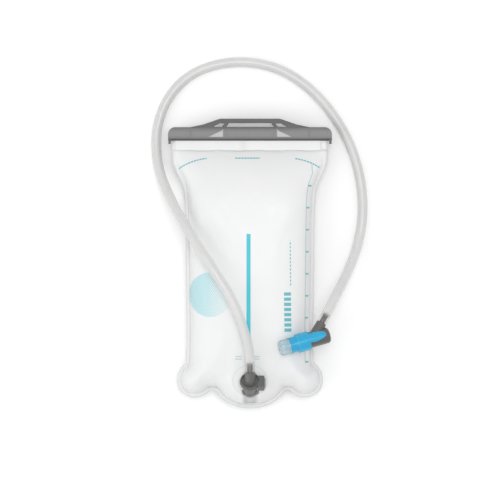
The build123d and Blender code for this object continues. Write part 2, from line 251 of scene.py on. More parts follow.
def hose_rings(points):
    """For each point: two directions across the line, and its distances from both ends."""
    along = [0.0]
    for before, after in zip(points, points[1:]):
        along.append(along[-1] + (after - before).length)
    side = Vector((1, 0, 0))
    rings = []
    for index, point in enumerate(points):
        ahead = points[min(index + 1, len(points) - 1)] - points[max(index - 1, 0)]
        ahead.normalize()
        side = (side - ahead * side.dot(ahead)).normalized()
        rings.append((point, side, ahead.cross(side), along[index], along[-1] - along[index]))
    return rings


def hose_mesh(name, points, material, sides=40):
    """A tube with a bore along the points, closed by a flat ring at each end."""
    rings = hose_rings(points)
    vertices = []
    for bore in (False, True):
        for point, side, up, start, end in rings:
            size = BORE_RADIUS if bore else swollen(start, end)
            for turn in range(sides):
                angle = 2 * pi * turn / sides
                vertices.append(point + side * (size * cos(angle)) + up * (size * sin(angle)))
    count = len(rings)
    faces = []
    for layer, flip in ((0, False), (count, True)):
        for ring in range(count - 1):
            for turn in range(sides):
                first = (layer + ring) * sides
                after = (turn + 1) % sides
                face = (first + turn, first + after, first + sides + after, first + sides + turn)
                faces.append(tuple(reversed(face)) if flip else face)
    for ring, flip in ((0, True), (count - 1, False)):
        for turn in range(sides):
            after = (turn + 1) % sides
            face = (
                ring * sides + turn,
                ring * sides + after,
                (count + ring) * sides + after,
                (count + ring) * sides + turn,
            )
            faces.append(tuple(reversed(face)) if flip else face)
    return new_mesh(name, vertices, faces, material)


def clear_hose():
    """A milky tube that turns clear where it is stretched over the barbs at its ends."""
    recipe = Recipe("clear_hose")
    vector = recipe.place()
    cloud = recipe.noise(vector, 40.0, 1.0)
    end = 0.0
    for place in (HOSE_ROUTE[0], HOSE_ROUTE[-1]):
        away = recipe.tree.nodes.new("ShaderNodeVectorMath")
        away.operation = "DISTANCE"
        recipe.feed(away.inputs[0], vector)
        away.inputs[1].default_value = [value / MM for value in place]
        near = recipe.span(away.outputs["Value"], *BARB_CLEAR, 1.0, 0.0, smooth=True)
        end = recipe.math("MAXIMUM", end, near)
    body = recipe.mix(cloud, (0.72, 0.72, 0.715, 1), (0.80, 0.80, 0.795, 1))
    recipe.set(
        Base_Color=recipe.mix(end, body, (0.40, 0.39, 0.38, 1)),
        Alpha=recipe.span(end, 0.0, 1.0, 0.6, 0.14),
        Roughness=recipe.span(cloud, 0.3, 0.7, 0.2, 0.3),
        IOR=1.45,
        Coat_Weight=0.4,
        Coat_Roughness=0.1,
    )
    recipe.bump(recipe.noise(vector, 18.0, 1.0), 0.2, 0.2)
    return recipe.material


def add_hose():
    """The hose, which takes the place of the CAD node."""
    points = hose_line()
    hose = hose_mesh("drinking_hose", points, clear_hose())
    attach(hose, "hose_set")
    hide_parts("hose")


# ---- the film: a flat pattern, welded round its edge and blown up as cloth; in millimetres ----
WELD = 4.5               # width of the welded edge
BAND_Y = 138.0           # the film is held flat above this
FLAT_HALF = 93.5
FLAT_FOOT = -189.0       # the middle lobe's end in the flat pattern
FILLED_FOOT = -174.0     # and once the bag is filled
FOOT_NARROWER = 4.5      # the flat pattern's sides lean in this much over SIDE_LENGTH
SIDE_TOP, SIDE_LENGTH = 110.0, 200.0
BODY_FOOT = -167.0       # where the body ends between the lobes
CORNER_LOBE = (72.0, -150.0, 25.0)       # centre and radius
MIDDLE_LOBE = (-152.0, 50.0, 37.0)       # its centre's y, its half width and its half height
MIDDLE_Y = -60.0         # the outline is seen whole from this point on the centre line
SPACING = 2.9            # between the mesh's points
FRONT_RISE = 34.0
REAR_DROP = 22.0
FULL_DEPTH = 46.0        # this far in from the weld, a film reaches its whole height
TOP_SLOPE = 78.0         # and this far below the closure
EDGE_CURVE = (2.6, 2.2)  # how steeply it rises from its weld, and how flat it is further in
TOP_CURVE = 1.15
SKIN = 0.35              # thickness of one film
LEAST_Z = 0.4            # the film's lowest point
FOLD_Y = 156.0           # where the top is folded over, inside the slide bar
FOLD_LIFT = 1.2          # how far the fold's middle lies above the weld
FRONT_FOLD, REAR_FOLD = 0.8, 1.6         # the two films' radii round the fold
RIM_GAP = 0.2            # half the space between the two films' welded edges
RIM_RISE = 0.6           # the weld's outer edge goes up and down by this share of its inner edge
PORT_PATCH = (0.0, -138.0, 20.5, 18.0)   # centre and half sizes of the port's welded flange
PATCH_FADE = (1.35, 0.25)                # how far round it the film follows it, and how softly
CAGE_FOOT = -167.0       # the film stays above the valve cage down to here
CAGE_HALF, CAGE_FADE = 15.0, 6.0
CAGE_GAP = 1.5
PORT_ORIGIN = (0.0, -147.0, 54.5)        # where the port's axis meets the front film
PORT_TILT = 52.0         # how steeply it rises, in degrees
HOLE_REACH = 16.0        # the hole for the port is cut this far along its axis
HOLE_RING = (5.4, 9.2)   # points this far from the axis are moved to the hole's edge
HOLE_RADIUS = 7.3        # which is inside the socket's wall
FRAMES = 20              # steps of the cloth simulation
LOOSE_HOLD = 0.02        # how firmly it holds a free point, where 1 is fixed
MOST_MOVE = 9.0          # the cloth takes no point further than this from its first place

# The filled bag's half width inside its weld, along its length.
WIDTHS = [
    (-200, 82), (-168, 82), (-150, 82), (-130, 80), (-118, 78), (-100, 77), (-60, 76), (0, 75), (40, 74.5),
    (70, 74.5), (84, 75), (95, 77), (103, 80.5), (112, 84.5), (121, 88), (128, 89), (145, 89),
]


def smooth_min(first, second, reach):
    """The smaller of two distances, rounded where they are nearly the same."""
    share = np.clip(0.5 + 0.5 * (second - first) / reach, 0, 1)
    return second * (1 - share) + first * share - reach * share * (1 - share)


def outside(x, y):
    """How far outside the flat pattern's outline a point lies: negative inside."""
    half = FLAT_HALF - FOOT_NARROWER * np.clip((SIDE_TOP - y) / SIDE_LENGTH, 0, 1)
    body = np.maximum(np.abs(x) - half, np.maximum(y - BAND_Y - WELD, BODY_FOOT - y))
    lobe_x, lobe_y, radius = CORNER_LOBE
    corner = np.hypot(np.abs(x) - lobe_x, y - lobe_y) - radius
    middle_y, wide, deep = MIDDLE_LOBE
    size = np.hypot(x / wide, (y - middle_y) / deep)
    slope = np.hypot(x / wide**2, (y - middle_y) / deep**2)
    middle = size * (size - 1) / np.maximum(slope, 1e-6)
    return smooth_min(smooth_min(body, corner, 2.0), middle, 4.0)


def ring_at(level, angles):
    """The outline's points at one distance, in the given directions from the bag's middle."""
    near = np.zeros_like(angles)
    far = np.full_like(angles, 400.0)
    for _ in range(40):
        half = (near + far) / 2
        within = outside(half * np.cos(angles), MIDDLE_Y + half * np.sin(angles)) < level
        near = np.where(within, half, near)
        far = np.where(within, far, half)
    return np.stack([near * np.cos(angles), MIDDLE_Y + near * np.sin(angles)], axis=1)


def seam_loop():
    """The weld's inner edge, evenly spaced, with a point at each top corner."""
    points = ring_at(-WELD, np.linspace(0, 2 * pi, 2880, endpoint=False))
    closed = np.vstack([points, points[:1]])
    along = np.concatenate([[0], np.cumsum(np.linalg.norm(np.diff(closed, axis=0), axis=1))])
    closer = 1.15
    at = np.linspace(0, along[-1], int(along[-1] / SPACING * closer), endpoint=False)
    loop = np.stack([np.interp(at, along, closed[:, axis]) for axis in (0, 1)], axis=1)
    for side in (-1, 1):
        corner = np.array([side * (FLAT_HALF - WELD), BAND_Y])
        loop[np.argmin(np.linalg.norm(loop - corner, axis=1))] = corner
    return loop


def lattice():
    """Points in even rows all over the pattern inside its seam."""
    rows = []
    for number, y in enumerate(np.arange(FLAT_FOOT, BAND_Y, SPACING * sqrt(3) / 2)):
        x = np.arange(-FLAT_HALF, FLAT_HALF, SPACING) + (number % 2) * SPACING / 2
        rows.append(np.stack([x, np.full_like(x, y)], axis=1))
    points = np.vstack(rows)
    return points[outside(points[:, 0], points[:, 1]) < -WELD - 0.55 * SPACING]


def filled_y(y):
    """The filled bag is shorter than its flat pattern."""
    return BAND_Y - (BAND_Y - y) * (BAND_Y - FILLED_FOOT) / (BAND_Y - FLAT_FOOT)


def filled(flat, seam, side):
    """Where the flat pattern's points lie once the bag is filled: side is 1 in front, -1 behind."""
    x, y = flat[:, 0], flat[:, 1]
    new_y = filled_y(y)
    places, widths = zip(*WIDTHS)
    new_x = x * np.interp(new_y, places, widths) / (FLAT_HALF - WELD)
    edge = seam[seam[:, 1] < BAND_Y - 1]
    depth = np.array([np.min(np.hypot(edge[:, 0] - a, edge[:, 1] - b)) for a, b in flat])
    reach = np.clip(depth / FULL_DEPTH, 0, 1)
    steep, flat_top = EDGE_CURVE
    rise = (1 - (1 - reach) ** steep) ** (1 / flat_top)
    share = np.sin(np.clip((BAND_Y - 2 - new_y) / TOP_SLOPE, 0, 1) * pi / 2) ** TOP_CURVE
    height = FRONT_RISE if side > 0 else REAR_DROP
    return np.stack([new_x, new_y, SEAM_Z + side * height * rise * share], axis=1)


def blow_up(start, flat, held, faces):
    """Runs the film as cloth, cut to its flat pattern, under a little pressure."""
    mesh = bpy.data.meshes.new("film_cloth")
    mesh.from_pydata([tuple(point) for point in start * MM], [], faces)
    cloth = bpy.data.objects.new("film_cloth", mesh)
    scene = bpy.context.scene
    scene.collection.objects.link(cloth)
    cloth.shape_key_add(name="start")
    pattern = cloth.shape_key_add(name="pattern")
    pattern.data.foreach_set("co", (flat * MM).ravel())
    pattern.value = 0
    pins = cloth.vertex_groups.new(name="held")
    for index, weight in enumerate(held):
        pins.add([index], float(weight), "REPLACE")
    modifier = cloth.modifiers.new("cloth", "CLOTH")
    settings = modifier.settings
    settings.quality = 6
    settings.mass = 0.01
    settings.tension_stiffness = 25
    settings.compression_stiffness = 25
    settings.shear_stiffness = 12
    settings.bending_stiffness = 0.15
    settings.tension_damping = 10
    settings.compression_damping = 10
    settings.shear_damping = 10
    settings.use_pressure = True
    settings.uniform_pressure_force = 1.2
    settings.effector_weights.gravity = 0
    settings.vertex_group_mass = "held"
    settings.pin_stiffness = 1.0
    settings.rest_shape_key = pattern
    modifier.collision_settings.use_collision = False
    scene.frame_start = 1
    scene.frame_end = FRAMES
    modifier.point_cache.frame_end = FRAMES
    for number in range(1, FRAMES + 1):
        scene.frame_set(number)
    shown = cloth.evaluated_get(bpy.context.evaluated_depsgraph_get())
    result = np.empty(len(start) * 3)
    shown.data.vertices.foreach_get("co", result)
    bpy.data.objects.remove(cloth)
    scene.frame_set(1)
    result = result.reshape(-1, 3) / MM
    move = result - start
    size = np.linalg.norm(move, axis=1, keepdims=True)
    return start + move * np.minimum(1, MOST_MOVE / np.maximum(size, 1e-6))


def over_port(points, count):
    """Lays the front film on the port's flange, as high as the solid film is there."""
    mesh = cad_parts["front_film"].data
    solid = BVHTree.FromPolygons([v.co for v in mesh.vertices], [p.vertices for p in mesh.polygons])
    middle_x, middle_y, half_x, half_y = PORT_PATCH
    reach, fade = PATCH_FADE
    for index in range(count):
        x, y, z = points[index]
        oval = sqrt(((x - middle_x) / half_x) ** 2 + ((y - middle_y) / half_y) ** 2)
        over_cage = 0.0
        if CAGE_FOOT < y < middle_y:
            over_cage = min(1.0, max(0.0, (CAGE_HALF - abs(x)) / CAGE_FADE))
        if oval > reach and over_cage == 0:
            continue
        hit = solid.ray_cast(Vector((x * MM, y * MM, 0.2)), Vector((0, 0, -1)))[0]
        if hit is None:
            continue
        top = hit.z / MM - SKIN
        share = min(1.0, max(0.0, (reach - oval) / fade))
        laid = z + (top - z) * share
        points[index, 2] = laid + max(top - CAGE_GAP - laid, 0.0) * over_cage
    return points


def smooth_film(points, faces, seam_count, rounds):
    """Takes small wrinkles out of the films, and leaves their seam where it is."""
    pairs = np.array([(a, b) for face in faces for a, b in zip(face, face[1:] + face[:1])])
    near = np.zeros(len(points))
    np.add.at(near, pairs[:, 0], 1)
    share = 0.5 * (near > 0)[:, None]
    for _ in range(rounds):
        total = np.zeros_like(points)
        np.add.at(total, pairs[:, 0], points[pairs[:, 1]])
        average = total / np.maximum(near, 1)[:, None]
        average[:seam_count] = points[:seam_count]
        points = points + share * (average - points)
    return points


def rim_points(seam, seam_filled):
    """The weld's outer edge: straight out from each point of its inner edge, in small steps."""
    near, most = 0.05, 0.25
    outer = seam.copy()
    for _ in range(80):
        x, y = outer[:, 0], outer[:, 1]
        slope_x = outside(x + near, y) - outside(x - near, y)
        slope_y = outside(x, y + near) - outside(x, y - near)
        slope = np.stack([slope_x, slope_y], axis=1) / (2 * near)
        slope /= np.maximum(np.linalg.norm(slope, axis=1, keepdims=True), 1e-6)
        left = np.clip(-outside(x, y), 0, None)
        outer += slope * np.minimum(left, most)[:, None]
    offset = np.column_stack([outer - seam, np.zeros(len(seam))])
    return outer, seam_filled + offset


def fold_path(radius):
    """One film's way through the closure from the band: y and z up, round and back down."""
    fold_z = SEAM_Z + FOLD_LIFT
    path = [(BAND_Y + step, fold_z - radius) for step in (2, 6, 10, 14)]
    for turn in range(7):
        angle = radians(-90 + 30 * turn)
        path.append((FOLD_Y + radius * cos(angle), fold_z + radius * sin(angle)))
    path += [(FOLD_Y - step, fold_z + radius) for step in (4, 8, 12, 16, 19.6)]
    return path


def run_of(first, last, count):
    """The numbers from first to last on a closed loop of count points."""
    run = [first]
    while run[-1] != last:
        run.append((run[-1] + 1) % count)
    return run


class Skin:
    """One film's mesh as it grows: its points, their flat places and how far they are in the weld."""

    def __init__(self, points, flat, faces):
        self.points = list(points)
        self.flat = list(flat)
        self.weld = [0.0] * len(self.points)
        self.faces = [tuple(face) for face in faces]

    def add(self, place, flat_place, weld=0.0):
        self.points.append(place)
        self.flat.append(flat_place)
        self.weld.append(weld)
        return len(self.points) - 1

    def join(self, row, fresh):
        """Faces between two rows of points."""
        for step in range(len(row) - 1):
            self.faces.append((row[step], fresh[step], fresh[step + 1], row[step + 1]))

    def add_rim(self, seam, rim, rim_flat, level):
        """The welded edge outside the seam's points, from one top corner round to the other."""
        ring = []
        for index in seam:
            place = rim[index].copy()
            flat_place = rim_flat[index].copy()
            if index in (seam[0], seam[-1]):
                flat_place = np.array([np.sign(self.flat[index][0]) * FLAT_HALF, BAND_Y])
                place[:2] = flat_place
            place[2] += level
            ring.append(self.add(place, flat_place, 1.0))
        self.join(seam, ring)
        for index in seam:
            self.weld[index] = 0.6
        return ring

    def add_fold(self, row, radius):
        """The film's top, from the band's row of points through the closure."""
        across = [self.flat[index][0] for index in row]
        for y, z in fold_path(radius):
            fresh = [self.add(np.array([x, y, z]), np.array([x, y])) for x in across]
            self.join(row, fresh)
            row = fresh

    def build(self, name, material):
        piece = new_mesh(name, np.array(self.points) * MM, self.faces, material)
        mesh = piece.data
        layer = mesh.uv_layers.new(name="flat_pattern")
        for corner in mesh.loops:
            x, y = self.flat[corner.vertex_index]
            layer.data[corner.index].uv = (x * MM, filled_y(y) * MM)
        mark = mesh.attributes.new("weld", "FLOAT", "POINT")
        mark.data.foreach_set("value", self.weld)
        return piece


def cut_for_port(faces, points):
    """Leaves a hole for the port's socket, with its edge inside the socket's wall."""
    axis = np.array([0.0, cos(radians(PORT_TILT)), sin(radians(PORT_TILT))])
    local = points - np.array(PORT_ORIGIN)
    along = local @ axis
    across = local - np.outer(along, axis)
    size = np.linalg.norm(across, axis=1)
    low, high = HOLE_RING
    ring = (np.abs(along) < HOLE_REACH) & (size < high)
    edge = ring & (size > low)
    points[edge] += across[edge] * (HOLE_RADIUS / size[edge] - 1)[:, None]
    inner = ring & ~edge
    return [face for face in faces if not any(inner[index] for index in face)], points


def inflate(seam, inner, faces):
    """The filled bag's points: the shared seam's first, then the front's and the rear's."""
    seam_count = len(seam)
    flat = np.vstack([seam, inner])
    front_count = len(flat)

    def behind(index):
        """The rear film's point that matches one of the front's."""
        return index if index < seam_count else index + len(inner)

    all_faces = faces + [tuple(behind(index) for index in reversed(face)) for face in faces]
    start = np.vstack([filled(flat, seam, 1), filled(inner, seam, -1)])
    start = over_port(start, front_count)
    pattern = np.zeros((len(start), 3))
    pattern[:front_count, :2] = flat
    pattern[front_count:, :2] = inner
    pattern[seam_count:front_count, 2] = 0.2
    pattern[front_count:, 2] = -0.2
    held = np.full(len(start), LOOSE_HOLD)
    held[pattern[:, 1] > BAND_Y - 4] = 1
    middle_x, middle_y, half_x, half_y = PORT_PATCH
    oval = np.hypot((start[:, 0] - middle_x) / half_x, (start[:, 1] - middle_y) / half_y)
    held[:front_count][oval[:front_count] < 1.05] = 1
    points = blow_up(start, pattern, held, all_faces)
    points = over_port(points, front_count)
    points = smooth_film(points, all_faces, seam_count, 2)
    points[:, 2] = np.maximum(points[:, 2], LEAST_Z)
    return points


def top_corner(seam, side):
    """The number of the seam's point at a top corner: side is -1 at the left, 1 at the right."""
    away = np.hypot(seam[:, 0] - side * (FLAT_HALF - WELD), seam[:, 1] - BAND_Y)
    return int(np.argmin(away))


def add_film(front_material, rear_material):
    """The two films, each with its welded rim and its folded top."""
    seam = seam_loop()
    inner = lattice()
    flat = np.vstack([seam, inner])
    count = len(seam)
    links = [(index, (index + 1) % count) for index in range(count)]
    faces = [tuple(face) for face in delaunay_2d_cdt([Vector(p) for p in flat], links, [], 1, 1e-4)[2]]
    points = inflate(seam, inner, faces)
    rim_flat, rim = rim_points(seam, points[:count])
    rim[:, 2] = SEAM_Z + (rim[:, 2] - SEAM_Z) * RIM_RISE
    left, right = top_corner(seam, -1), top_corner(seam, 1)
    round_foot = run_of(left, right, count)
    along_top = run_of(right, left, count)
    open_faces, front_points = cut_for_port(faces, points[:len(flat)].copy())
    rear_points = np.vstack([points[:count], points[len(flat):]])
    front = Skin(front_points, flat, open_faces)
    rear = Skin(rear_points, flat, faces)
    for skin, name, node, radius, level, material in (
        (front, "front_skin", "front_film", FRONT_FOLD, RIM_GAP, front_material),
        (rear, "rear_skin", "rear_film", REAR_FOLD, -RIM_GAP, rear_material),
    ):
        ring = skin.add_rim(round_foot, rim, rim_flat, level)
        skin.add_fold([ring[-1], *along_top, ring[0]], radius)
        piece = skin.build(name, material)
        if skin is rear:
            piece.data.flip_normals()
        solid = piece.modifiers.new("thickness", "SOLIDIFY")
        solid.thickness = SKIN * MM
        solid.offset = -1
        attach(piece, "bag")
        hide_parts(node)


# ---- the film's look and its prints, placed on the flat film by left, low and right, high ----
PRINT_CYAN = (0.01, 0.47, 0.56, 1)
PRINT_TEAL = (0.0, 0.36, 0.41, 1)
DOT_CYAN = (0.16, 0.66, 0.74, 1)
CENTRE_BAR = ((-4.9, -89), (0.8, 36))
ARC_HEIGHT = 126.3       # of the dashed line near the top, which drops towards the sides
ARC_FLAT = 50.0          # half the length over which it is straight
ARC_PARTS = ((-89, -52), (-18, 12), (54, 86))
ARC_BAND = (100, 140)
SCALE_LINE = ((70, -117), (88, 119))
SCALE_TICKS = ((70, -118), (90, 95))
FIRST_TICK, TICK_PITCH, TICK_LENGTH = 93.6, 26.25, 4.5
COLUMNS = (              # corners, pitch of the marks and half the gap between them
    (((56.5, -26), (58.0, 28)), 4.4, 0.8),
    (((47.5, -81), (57.5, -32)), 6.1, 1.1),
)
PORT_DASHES = (-20, 4)   # left ends of the two pairs beside the hose
DISC = (-56.0, -36.0, 26.5)              # centre and radius of the panel of dots
DOT_PITCH = 3.2


def film_prints(recipe, u, v):
    """Where the front is printed: fine marks, and the broad bar along the middle."""
    calc = recipe.math
    drop = calc("MAXIMUM", calc("SUBTRACT", calc("ABSOLUTE", u), ARC_FLAT), 0.0)
    arc = calc("SUBTRACT", ARC_HEIGHT, calc("MULTIPLY", calc("POWER", drop, 1.7), 0.024))
    arc = calc("LESS_THAN", calc("ABSOLUTE", calc("SUBTRACT", v, arc)), 0.8)
    shown = 0.0
    for low, high in ARC_PARTS:
        part = recipe.block(u, v, (low, ARC_BAND[0]), (high, ARC_BAND[1]))
        shown = calc("MAXIMUM", shown, part)
    broken = calc("GREATER_THAN", recipe.repeat(u, 0.0, 3.6), 0.4)
    marks = calc("MULTIPLY", calc("MULTIPLY", arc, shown), broken)

    beside_edge = recipe.span(v, -110, 86, 76.8, 80.3)
    leaning_in = recipe.span(v, 86, 119, 90, 75.5)
    line_u = calc("MINIMUM", leaning_in, beside_edge)
    line = calc("LESS_THAN", calc("ABSOLUTE", calc("SUBTRACT", u, line_u)), 0.6)
    line = calc("MULTIPLY", line, recipe.block(u, v, *SCALE_LINE))
    ticks = calc("LESS_THAN", recipe.repeat(v, FIRST_TICK, TICK_PITCH), 1.0)
    past = calc("SUBTRACT", u, line_u)
    past = calc("MULTIPLY", calc("GREATER_THAN", past, 0.0), calc("LESS_THAN", past, TICK_LENGTH))
    ticks = calc("MULTIPLY", calc("MULTIPLY", ticks, past), recipe.block(u, v, *SCALE_TICKS))
    marks = calc("MAXIMUM", marks, calc("MAXIMUM", calc("MULTIPLY", line, 0.5), ticks))

    for (low, high), pitch, gap in COLUMNS:
        column = calc("GREATER_THAN", recipe.repeat(v, low[1], pitch), gap)
        marks = calc("MAXIMUM", marks, calc("MULTIPLY", column, recipe.block(u, v, low, high)))
    for low in PORT_DASHES:
        pair = calc("GREATER_THAN", recipe.repeat(v, -110.7, 9.0), 0.8)
        pair = calc("MULTIPLY", pair, recipe.block(u, v, (low, -113), (low + 9, -108.5)))
        marks = calc("MAXIMUM", marks, calc("MULTIPLY", pair, 0.45))
    return marks, recipe.block(u, v, *CENTRE_BAR)


def halftone(recipe, u, v):
    """A plain round panel of dots, large at its left and finer towards its right."""
    calc = recipe.math
    middle_u, middle_v, radius = DISC
    across = calc("MULTIPLY", calc("SUBTRACT", u, middle_u), 0.86)
    away = recipe.length(across, calc("SUBTRACT", v, middle_v))
    disc = calc("LESS_THAN", away, radius)
    dots = recipe.length(
        recipe.repeat(calc("ADD", u, v), 0.0, DOT_PITCH),
        recipe.repeat(calc("SUBTRACT", u, v), 0.0, DOT_PITCH),
    )
    return calc("MULTIPLY", disc, calc("LESS_THAN", dots, recipe.span(u, -84, -28, 2.3, 0.8)))


def patch_edge(recipe, x, y):
    """The fine line round the port's welded flange."""
    middle_x, middle_y, half_x, half_y = PORT_PATCH
    calc = recipe.math
    across = calc("DIVIDE", calc("SUBTRACT", x, middle_x), half_x)
    along = calc("DIVIDE", calc("SUBTRACT", y, middle_y), half_y)
    away = calc("ABSOLUTE", calc("SUBTRACT", recipe.length(across, along), 1.0))
    return recipe.span(away, 0.0, 0.06, 0.3, 0.0)


def cage_window(recipe, x, y, z):
    """Where the film lies on the valve cage, and shows it through."""
    calc = recipe.math
    across = recipe.span(calc("ABSOLUTE", x), 5.0, 12.0, 1.0, 0.0, smooth=True)
    along = recipe.span(y, -153.0, -149.0, 1.0, 0.0, smooth=True)
    high = recipe.span(z, 34.0, 44.0, 0.0, 1.0, smooth=True)
    return calc("MULTIPLY", calc("MULTIPLY", across, along), high)


def film_material(name, printed):
    """Clear milky film, clearer in its weld, with soft crinkles. Only the front is printed."""
    recipe = Recipe(name)
    calc = recipe.math
    vector = recipe.place()
    cloud = recipe.noise(vector, 60.0, 2.0)
    colour = recipe.mix(cloud, (0.84, 0.845, 0.85, 1), (0.885, 0.885, 0.885, 1))
    weld = recipe.tree.nodes.new("ShaderNodeAttribute")
    weld.attribute_name = "weld"
    colour = recipe.mix(weld.outputs["Fac"], colour, (0.91, 0.915, 0.915, 1))
    alpha = recipe.span(weld.outputs["Fac"], 0.0, 1.0, 0.84, 0.62)
    if printed:
        u, v, _ = recipe.axes(recipe.place("UV"))
        x, y, z = recipe.axes(vector)
        colour = recipe.mix(patch_edge(recipe, x, y), colour, (0.45, 0.47, 0.48, 1))
        alpha = calc("SUBTRACT", alpha, calc("MULTIPLY", cage_window(recipe, x, y, z), 0.48))
        marks, bar = film_prints(recipe, u, v)
        dots = calc("MULTIPLY", halftone(recipe, u, v), 0.5)
        colour = recipe.mix(dots, colour, DOT_CYAN)
        colour = recipe.mix(calc("MULTIPLY", marks, 0.85), colour, PRINT_TEAL)
        colour = recipe.mix(calc("MULTIPLY", bar, 0.97), colour, PRINT_CYAN)
        alpha = calc("MAXIMUM", alpha, calc("MAXIMUM", calc("MAXIMUM", marks, bar), dots))
    recipe.set(
        Base_Color=colour,
        Alpha=alpha,
        Roughness=recipe.span(recipe.noise(vector, 14.0), 0.3, 0.7, 0.38, 0.48),
        IOR=1.45,
    )
    recipe.bump(layers_of_noise(recipe, vector, (70.0, 26.0), (0.75, 0.25)), 1.6, 0.16)
    return recipe.material


# ---- the closure ----
def strip_material():
    """Stiff white film with a painted shadow, a faint grey band, near its middle."""
    recipe = Recipe("white_strip")
    vector = recipe.place()
    x, _, _ = recipe.axes(vector)
    cloud = recipe.noise(vector, 30.0)
    # painted shadow: a soft grey band across the strip, about 8 mm left of its middle
    away = recipe.math("ABSOLUTE", recipe.math("ADD", x, 8.0))
    painted_shadow = recipe.span(away, 0.0, 7.0, 0.35, 0.0, smooth=True)
    colour = recipe.mix(cloud, (0.68, 0.68, 0.685, 1), (0.74, 0.74, 0.745, 1))
    recipe.set(Base_Color=recipe.mix(painted_shadow, colour, (0.55, 0.55, 0.56, 1)), Roughness=0.42)
    recipe.bump(layers_of_noise(recipe, vector, (20.0, 0.8), (0.8, 0.05)), 0.6, 0.4)
    return recipe.material


STRIP_LEFT, STRIP_RIGHT = -0.0895, 0.0845
STRIP_THICK = 0.001
STRIP_RIB = 0.0035       # how wide its rib is, along y
STRIP_EDGE = 0.0003      # how far its upright sides lean
STRIP_GAP = 0.00004      # between the strip and the film under it


def add_flap_strip():
    """The stiff white strip on the folded top, with its rib inside the slide bar."""
    low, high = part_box("rear_top_strip")
    foot, back = low[1], high[1]
    tall = high[2] - low[2]
    rib = back - STRIP_RIB
    profile = [
        (foot, 0.0),
        (foot + STRIP_EDGE, STRIP_THICK),
        (rib - 0.0004, STRIP_THICK),
        (rib, tall - STRIP_EDGE),
        (rib + STRIP_EDGE, tall),
        (back - STRIP_EDGE, tall),
        (back, 0.0),
    ]
    steps = 60
    vertices = []
    for step in range(steps + 1):
        x = STRIP_LEFT + (STRIP_RIGHT - STRIP_LEFT) * step / steps
        wave = 0.00025 * sin(step * 0.42) + 0.00018 * sin(step * 1.1 + 1.0)
        for number, (y, z) in enumerate(profile):
            shift = wave if number < 2 else 0.0
            vertices.append((x, y + shift, low[2] + z + STRIP_GAP))
    count = len(profile)
    faces = []
    for step in range(steps):
        for side in range(count):
            first = step * count + side
            second = step * count + (side + 1) % count
            faces.append((first, second, second + count, first + count))
    faces.append(tuple(reversed(range(count))))
    faces.append(tuple(range(steps * count, (steps + 1) * count)))
    strip = new_mesh("flap_strip", vertices, faces, strip_material())
    strip.data.shade_flat()
    bevel = strip.modifiers.new("edges", "BEVEL")
    bevel.width = 0.0002
    bevel.segments = 2
    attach(strip, "bag")
    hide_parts("rear_top_strip")


def slide_material():
    """Satin grey moulding. It is darker along the lower edge as painted shade, and darker on the grip,
    partly for its own darker plastic and partly as painted shade; its recesses are painted pale as
    highlights.
    """
    recipe = Recipe("slide_grey")
    calc = recipe.math
    vector = recipe.place()
    x, y, z = recipe.axes(vector)
    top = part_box("slide_bar")[1][2] / MM
    # painted shade: the bar is darker along its lower edge, and on the grip, whose darkness is partly its
    # own darker plastic
    above_edge = recipe.span(y, 149.4, 150.8, smooth=True)
    below_grip = recipe.span(y, 161.5, 164.5, 1, 0, smooth=True)
    cloud = layers_of_noise(recipe, vector, (45.0, 6.0), (0.6, 0.4))
    grey = recipe.mix(cloud, (0.15, 0.15, 0.152, 1), (0.23, 0.23, 0.232, 1))
    dark = recipe.mix(cloud, (0.055, 0.055, 0.055, 1), (0.10, 0.10, 0.10, 1))
    colour = recipe.mix(calc("MULTIPLY", above_edge, below_grip), dark, grey)
    # painted highlight: the recessed flats either side of the grip are painted pale
    recess_highlight = calc("MULTIPLY", calc("LESS_THAN", z, top - 0.5), calc("GREATER_THAN", z, top - 1.0))
    recess_highlight = calc("MULTIPLY", recess_highlight, recipe.span(calc("ABSOLUTE", x), 31.0, 33.0))
    slope = calc("SUBTRACT", 176.4, calc("MULTIPLY", calc("ABSOLUTE", x), 0.475))
    recess_highlight = calc("MULTIPLY", recess_highlight, calc("GREATER_THAN", y, 151.5))
    recess_highlight = calc("MULTIPLY", recess_highlight, calc("LESS_THAN", y, calc("MINIMUM", slope, 161.0)))
    recipe.set(
        Base_Color=recipe.mix(recess_highlight, colour, (0.46, 0.46, 0.46, 1)),
        Roughness=recipe.span(cloud, 0.3, 0.7, 0.42, 0.54),
    )
    recipe.bump(recipe.noise(vector, 0.5), 0.05, 0.2)
    return recipe.material


def port_material():
    """The port: a dark grey socket outside the film, smoky and see-through inside it."""
    recipe = Recipe("port_smoke")
    vector = recipe.place()
    x, y, z = recipe.axes(vector)
    cloud = recipe.noise(vector, 5.0)
    above = recipe.span(z, 54.5, 56.5, smooth=True)
    within = recipe.span(recipe.math("ABSOLUTE", x), 10.5, 11.5, 1, 0, smooth=True)
    socket = recipe.math("MULTIPLY", above, within)
    flange = recipe.span(y, -150.0, -148.0, smooth=True)
    inside = recipe.mix(flange, (0.20, 0.20, 0.20, 1), (0.70, 0.71, 0.72, 1))
    outer = recipe.mix(cloud, (0.07, 0.07, 0.07, 1), (0.12, 0.118, 0.115, 1))
    recipe.set(
        Base_Color=recipe.mix(socket, inside, outer),
        Alpha=recipe.span(socket, 0, 1, 0.85, 1.0),
        Roughness=recipe.span(cloud, 0.3, 0.7, 0.28, 0.4),
        Coat_Weight=0.3,
    )
    return recipe.material


